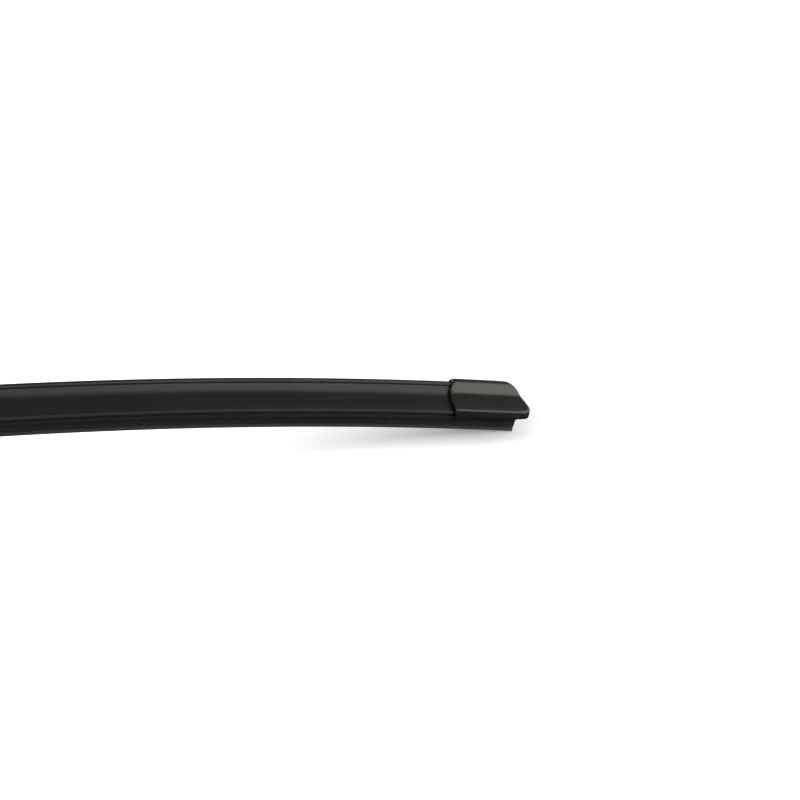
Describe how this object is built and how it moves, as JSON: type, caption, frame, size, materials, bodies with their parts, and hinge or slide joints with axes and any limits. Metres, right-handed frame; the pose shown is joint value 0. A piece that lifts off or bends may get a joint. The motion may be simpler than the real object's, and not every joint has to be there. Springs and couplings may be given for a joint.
{
  "type": "wiper blade",
  "caption": "Bowed beam wiper blade: rubber squeegee on sprung steel rails under a hollow-faced spoiler, with moulded end caps and a centre connector with a pivoting hook adapter.",
  "frame": {"origin": "centre of the pivot rivet, on its axis", "axes": "+X along the blade towards the end that the picture shows, -Y out of the spoiler's hollow front, +Z away from the glass"},
  "size_m": [0.6592, 0.0184, 0.0578],
  "materials": {
    "squeegee_rubber": "graphite-dusted matt natural rubber",
    "spring_steel": "blued spring strip",
    "spoiler_rubber": "satin extruded elastomer",
    "cap_plastic": "fine moulded satin",
    "base_metal": "black powder coat",
    "rivet_steel": "zinc plated",
    "adapter_plastic": "smooth acetal"
  },
  "bodies": {
    "blade": {"squeegee": "squeegee_rubber", "rail_front": "spring_steel", "rail_rear": "spring_steel", "spoiler_right": "spoiler_rubber", "spoiler_left": "spoiler_rubber", "end_cap_right": "cap_plastic", "end_cap_left": "cap_plastic", "connector_base": "base_metal", "pivot_rivet": "rivet_steel", "connector_cover": "cap_plastic"},
    "adapter": {"hook_adapter": "adapter_plastic"}
  },
  "joints": [
    {"name": "adapter_pivot", "type": "hinge", "parent": "blade", "child": "adapter", "pos_m": [0, 0, 0], "axis": [0, 1, 0], "range_deg": [-15, 15]}
  ]
}
